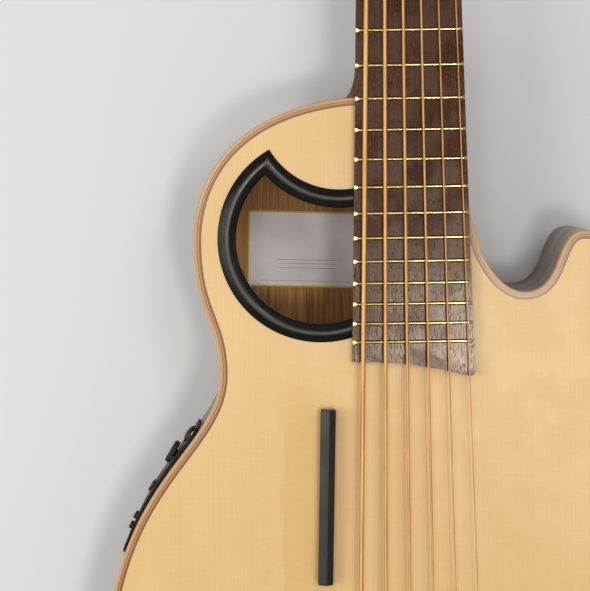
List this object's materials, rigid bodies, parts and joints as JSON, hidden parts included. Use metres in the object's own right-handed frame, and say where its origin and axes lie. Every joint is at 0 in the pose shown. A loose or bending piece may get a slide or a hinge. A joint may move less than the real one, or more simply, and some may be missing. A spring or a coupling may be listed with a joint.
{
  "type": "acoustic bass guitar",
  "caption": "Acoustic bass guitar with a waisted, cut-away hollow body, a large offset sound hole, a long fretted neck, geared tuners and a preamp in its side.",
  "frame": {"origin": "outer face of the back, under the saddle, on the centreline", "axes": "+Y towards the headstock, +X towards the thin strings, +Z out of the top"},
  "size_m": [0.4408, 1.2251, 0.1163],
  "materials": {
    "spruce": "satin",
    "maple": "satin",
    "brown_line": "satin",
    "body_wood": "satin",
    "neck_wood": "satin",
    "dark_wood": "oiled",
    "plain_wood": "raw",
    "black_plastic": "satin",
    "paper": "matte",
    "bone": "polished",
    "brass": "satin",
    "bronze": "wound",
    "steel": "brushed",
    "chrome": "polished"
  },
  "bodies": {
    "guitar": {"soundboard": "spruce", "back_plate": "body_wood", "bass_side": "body_wood", "treble_side": "body_wood", "top_binding": "maple", "top_purfling": "brown_line", "top_lining": "plain_wood", "back_lining": "plain_wood", "neck_block": "plain_wood", "tail_block": "plain_wood", "top_braces": "plain_wood", "back_braces": "plain_wood", "soundhole_edge": "black_plastic", "inside_label": "paper", "thumb_rest": "black_plastic", "bridge": "dark_wood", "saddle": "bone", "pickup_strip": "brass", "neck": "neck_wood", "fingerboard": "dark_wood", "nut": "bone", "truss_rod": "steel", "truss_rod_cover": "black_plastic", "headstock_faceplate": "dark_wood", "string_low_b": "bronze", "string_e": "bronze", "string_a": "bronze", "string_d": "bronze", "string_g": "bronze", "string_c": "bronze", "tuner_housing_1": "chrome", "tuner_housing_2": "chrome", "tuner_housing_3": "chrome", "tuner_housing_4": "chrome", "tuner_housing_5": "chrome", "tuner_housing_6": "chrome", "preamp_panel": "black_plastic", "preamp_box": "black_plastic", "output_jack": "chrome", "strap_button": "chrome"},
    "truss_rod_nut": {"truss_rod_nut": "steel"},
    "tuner_post_1": {"tuner_post_1": "chrome"},
    "tuner_post_2": {"tuner_post_2": "chrome"},
    "tuner_post_3": {"tuner_post_3": "chrome"},
    "tuner_post_4": {"tuner_post_4": "chrome"},
    "tuner_post_5": {"tuner_post_5": "chrome"},
    "tuner_post_6": {"tuner_post_6": "chrome"},
    "tuner_key_1": {"tuner_key_1": "chrome"},
    "tuner_key_2": {"tuner_key_2": "chrome"},
    "tuner_key_3": {"tuner_key_3": "chrome"},
    "tuner_key_4": {"tuner_key_4": "chrome"},
    "tuner_key_5": {"tuner_key_5": "chrome"},
    "tuner_key_6": {"tuner_key_6": "chrome"},
    "battery_door": {"battery_door": "black_plastic"},
    "volume_knob": {"volume_knob": "black_plastic"},
    "slider_cap_1": {"slider_cap_1": "black_plastic"},
    "slider_cap_2": {"slider_cap_2": "black_plastic"},
    "slider_cap_3": {"slider_cap_3": "black_plastic"},
    "phase_button": {"phase_button": "black_plastic"},
    "tuner_button": {"tuner_button": "black_plastic"}
  },
  "joints": [
    {"name": "key_1_turn", "type": "hinge", "parent": "guitar", "child": "tuner_key_1", "pos_m": [-0.027, 0.9234, 0.06841], "axis": [-1, 0, 0], "continuous": true},
    {"name": "key_2_turn", "type": "hinge", "parent": "guitar", "child": "tuner_key_2", "pos_m": [-0.027, 0.97231, 0.05801], "axis": [-1, 0, 0], "continuous": true},
    {"name": "key_3_turn", "type": "hinge", "parent": "guitar", "child": "tuner_key_3", "pos_m": [-0.027, 1.02121, 0.04762], "axis": [-1, 0, 0], "continuous": true},
    {"name": "key_4_turn", "type": "hinge", "parent": "guitar", "child": "tuner_key_4", "pos_m": [0.027, 1.02121, 0.04762], "axis": [1, 0, 0], "continuous": true},
    {"name": "key_5_turn", "type": "hinge", "parent": "guitar", "child": "tuner_key_5", "pos_m": [0.027, 0.97231, 0.05801], "axis": [1, 0, 0], "continuous": true},
    {"name": "key_6_turn", "type": "hinge", "parent": "guitar", "child": "tuner_key_6", "pos_m": [0.027, 0.9234, 0.06841], "axis": [1, 0, 0], "continuous": true},
    {"name": "post_1_turn", "type": "hinge", "parent": "guitar", "child": "tuner_post_1", "pos_m": [-0.027, 0.915, 0.09044], "axis": [0, 0.2079, 0.9781], "continuous": true},
    {"name": "post_2_turn", "type": "hinge", "parent": "guitar", "child": "tuner_post_2", "pos_m": [-0.027, 0.9639, 0.08004], "axis": [0, 0.2079, 0.9781], "continuous": true},
    {"name": "post_3_turn", "type": "hinge", "parent": "guitar", "child": "tuner_post_3", "pos_m": [-0.027, 1.01281, 0.06964], "axis": [0, 0.2079, 0.9781], "continuous": true},
    {"name": "post_4_turn", "type": "hinge", "parent": "guitar", "child": "tuner_post_4", "pos_m": [0.027, 1.01281, 0.06964], "axis": [0, 0.2079, 0.9781], "continuous": true},
    {"name": "post_5_turn", "type": "hinge", "parent": "guitar", "child": "tuner_post_5", "pos_m": [0.027, 0.9639, 0.08004], "axis": [0, 0.2079, 0.9781], "continuous": true},
    {"name": "post_6_turn", "type": "hinge", "parent": "guitar", "child": "tuner_post_6", "pos_m": [0.027, 0.915, 0.09044], "axis": [0, 0.2079, 0.9781], "continuous": true},
    {"name": "truss_rod_nut_turn", "type": "hinge", "parent": "guitar", "child": "truss_rod_nut", "pos_m": [0, 0.8778, 0.0935], "axis": [0, 1, 0], "range_deg": [-180, 180]},
    {"name": "battery_door_swing", "type": "hinge", "parent": "guitar", "child": "battery_door", "pos_m": [-0.18424, 0.1124, 0.02275], "axis": [-0.5175, -0.8557, 0], "range_deg": [0, 100]},
    {"name": "volume_knob_turn", "type": "hinge", "parent": "guitar", "child": "volume_knob", "pos_m": [-0.16872, 0.13363, 0.061], "axis": [-0.8557, 0.5175, 0], "range_deg": [-140, 140]},
    {"name": "slider_1_slide", "type": "slide", "parent": "guitar", "child": "slider_cap_1", "axis": [0.5175, 0.8557, 0], "range_m": [-0.0118, 0.0062]},
    {"name": "slider_2_slide", "type": "slide", "parent": "guitar", "child": "slider_cap_2", "axis": [0.5175, 0.8557, 0], "range_m": [-0.009, 0.009]},
    {"name": "slider_3_slide", "type": "slide", "parent": "guitar", "child": "slider_cap_3", "axis": [0.5175, 0.8557, 0], "range_m": [-0.0062, 0.0118]},
    {"name": "phase_button_press", "type": "slide", "parent": "guitar", "child": "phase_button", "axis": [0.8557, -0.5175, 0], "range_m": [0, 0.0015], "stiffness_N_per_m": 200, "springref_m": -0.001},
    {"name": "tuner_button_press", "type": "slide", "parent": "guitar", "child": "tuner_button", "axis": [0.8557, -0.5175, 0], "range_m": [0, 0.0015], "stiffness_N_per_m": 200, "springref_m": -0.001}
  ],
  "couplings": [
    {"joint": "post_1_turn", "follows": "key_1_turn", "ratio": 0.0625},
    {"joint": "post_2_turn", "follows": "key_2_turn", "ratio": 0.0625},
    {"joint": "post_3_turn", "follows": "key_3_turn", "ratio": 0.0625},
    {"joint": "post_4_turn", "follows": "key_4_turn", "ratio": -0.0625},
    {"joint": "post_5_turn", "follows": "key_5_turn", "ratio": -0.0625},
    {"joint": "post_6_turn", "follows": "key_6_turn", "ratio": -0.0625}
  ]
}
